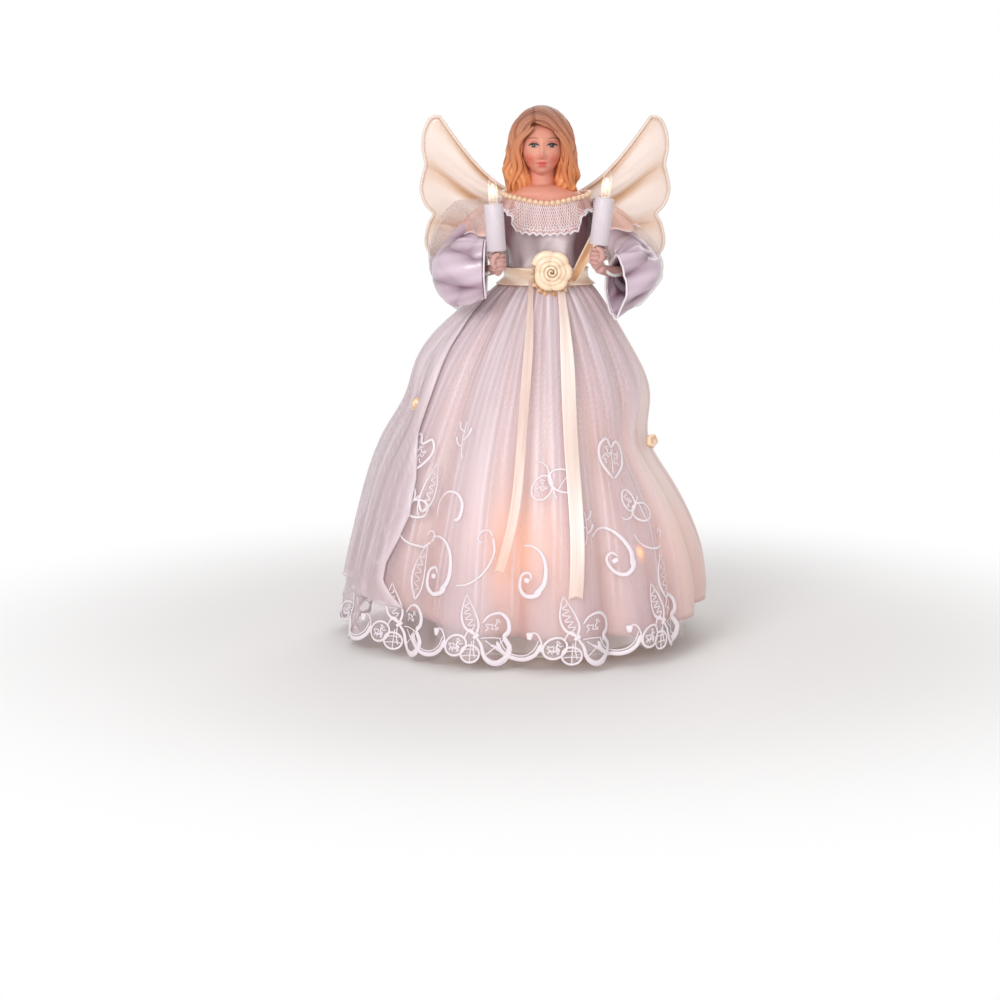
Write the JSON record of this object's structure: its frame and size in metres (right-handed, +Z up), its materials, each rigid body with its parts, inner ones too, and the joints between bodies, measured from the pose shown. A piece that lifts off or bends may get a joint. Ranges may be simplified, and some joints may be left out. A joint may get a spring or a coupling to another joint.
{
  "type": "angel tree topper",
  "caption": "Lit angel tree topper: a hollow cone dressed with satin and organza skirts, padded wings, bendable arms and candle lamps.",
  "frame": {"origin": "centre of the cone's open rim, on the surface that the topper stands on", "axes": "+Z up along the body, -Y the way the angel faces, +X to the right as seen from the front"},
  "size_m": [0.2099, 0.2017, 0.2995],
  "materials": {
    "frosted_cone": "translucent milky vacuum-formed sheet",
    "padding": "wadding under a thin cotton cover",
    "lavender_satin": "pale lavender satin with a silver sheen",
    "pink_satin": "pale pink satin",
    "organza": "sheer crisp organza with white embroidery at the hem",
    "ivory_satin": "ivory satin ribbon",
    "wing_satin": "padded ivory satin with a corded edge",
    "lace": "pale pink openwork lace with a ruffled edge",
    "pearl": "moulded pearl beads, warm cream lustre",
    "painted_vinyl": "painted moulding: skin, hair and features",
    "candle_plastic": "white injection-moulded tube",
    "lamp_plastic": "white moulded lamp holder",
    "bulb_glass": "clear glass, warm white when lit",
    "wire_cover": "white wire insulation",
    "card": "stiff white card"
  },
  "bodies": {
    "figure": {"cone": "frosted_cone", "torso_form": "padding", "bodice": "lavender_satin", "head": "painted_vinyl", "lace_collar": "lace", "pearl_string": "pearl", "underskirt": "pink_satin", "overskirt": "organza", "rosette_left": "ivory_satin", "rosette_right": "ivory_satin", "sash": "ivory_satin", "rose": "ivory_satin", "bow_loop": "ivory_satin", "ribbon_tail_left": "ivory_satin", "ribbon_tail_right": "ivory_satin", "wing_backing": "card", "lamp_wire": "wire_cover", "candle_wire": "wire_cover", "lamp_holder_1": "lamp_plastic", "lamp_holder_2": "lamp_plastic", "lamp_holder_3": "lamp_plastic", "lamp_holder_4": "lamp_plastic", "lamp_holder_5": "lamp_plastic", "lamp_holder_6": "lamp_plastic", "lamp_holder_7": "lamp_plastic", "lamp_holder_8": "lamp_plastic"},
    "left_wing": {"wing_left": "wing_satin", "wing_wire_left": "wing_satin"},
    "left_arm": {"arm_left": "padding", "hand_left": "painted_vinyl", "arm_lead_left": "wire_cover", "candle_left": "candle_plastic", "candle_holder_left": "lamp_plastic", "sleeve_left": "lavender_satin", "oversleeve_left": "organza", "cuff_left": "lavender_satin"},
    "left_candle_bulb": {"candle_bulb_left": "bulb_glass"},
    "right_wing": {"wing_right": "wing_satin", "wing_wire_right": "wing_satin"},
    "right_arm": {"arm_right": "padding", "hand_right": "painted_vinyl", "arm_lead_right": "wire_cover", "candle_right": "candle_plastic", "candle_holder_right": "lamp_plastic", "sleeve_right": "lavender_satin", "oversleeve_right": "organza", "cuff_right": "lavender_satin"},
    "right_candle_bulb": {"candle_bulb_right": "bulb_glass"},
    "skirt_bulb_1": {"lamp_bulb_1": "bulb_glass"},
    "skirt_bulb_2": {"lamp_bulb_2": "bulb_glass"},
    "skirt_bulb_3": {"lamp_bulb_3": "bulb_glass"},
    "skirt_bulb_4": {"lamp_bulb_4": "bulb_glass"},
    "skirt_bulb_5": {"lamp_bulb_5": "bulb_glass"},
    "skirt_bulb_6": {"lamp_bulb_6": "bulb_glass"},
    "skirt_bulb_7": {"lamp_bulb_7": "bulb_glass"},
    "skirt_bulb_8": {"lamp_bulb_8": "bulb_glass"}
  },
  "joints": [
    {"name": "left_arm_lift", "type": "hinge", "parent": "figure", "child": "left_arm", "pos_m": [-0.0262, 0, 0.238], "axis": [-1, 0, 0], "range_deg": [-6, 14]},
    {"name": "left_candle_bulb_pull", "type": "slide", "parent": "left_arm", "child": "left_candle_bulb", "axis": [-0.0645, 0, 0.9979], "range_m": [0, 0.008]},
    {"name": "left_wing_sweep", "type": "hinge", "parent": "figure", "child": "left_wing", "pos_m": [-0.008, 0.0213, 0.2305], "axis": [0, 0, -1], "range_deg": [-4, 25]},
    {"name": "right_arm_lift", "type": "hinge", "parent": "figure", "child": "right_arm", "pos_m": [0.0262, 0, 0.238], "axis": [-1, 0, 0], "range_deg": [-6, 14]},
    {"name": "right_candle_bulb_pull", "type": "slide", "parent": "right_arm", "child": "right_candle_bulb", "axis": [0.1236, 0, 0.9923], "range_m": [0, 0.008]},
    {"name": "right_wing_sweep", "type": "hinge", "parent": "figure", "child": "right_wing", "pos_m": [0.008, 0.0213, 0.2305], "axis": [0, 0, 1], "range_deg": [-4, 25]},
    {"name": "skirt_bulb_1_pull", "type": "slide", "parent": "figure", "child": "skirt_bulb_1", "axis": [-0.3955, 0.8884, 0.2332], "range_m": [0, 0.008]},
    {"name": "skirt_bulb_2_pull", "type": "slide", "parent": "figure", "child": "skirt_bulb_2", "axis": [-0.9671, -0.1016, 0.2332], "range_m": [0, 0.008]},
    {"name": "skirt_bulb_3_pull", "type": "slide", "parent": "figure", "child": "skirt_bulb_3", "axis": [-0.2022, -0.9512, 0.2332], "range_m": [0, 0.008]},
    {"name": "skirt_bulb_4_pull", "type": "slide", "parent": "figure", "child": "skirt_bulb_4", "axis": [0.8421, -0.4862, 0.2332], "range_m": [0, 0.008]},
    {"name": "skirt_bulb_5_pull", "type": "slide", "parent": "figure", "child": "skirt_bulb_5", "axis": [0.7227, 0.6507, 0.2332], "range_m": [0, 0.008]},
    {"name": "skirt_bulb_6_pull", "type": "slide", "parent": "figure", "child": "skirt_bulb_6", "axis": [0.4862, 0.8421, 0.2332], "range_m": [0, 0.008]},
    {"name": "skirt_bulb_7_pull", "type": "slide", "parent": "figure", "child": "skirt_bulb_7", "axis": [-0.9724, 0, 0.2332], "range_m": [0, 0.008]},
    {"name": "skirt_bulb_8_pull", "type": "slide", "parent": "figure", "child": "skirt_bulb_8", "axis": [0.4862, -0.8421, 0.2332], "range_m": [0, 0.008]}
  ]
}
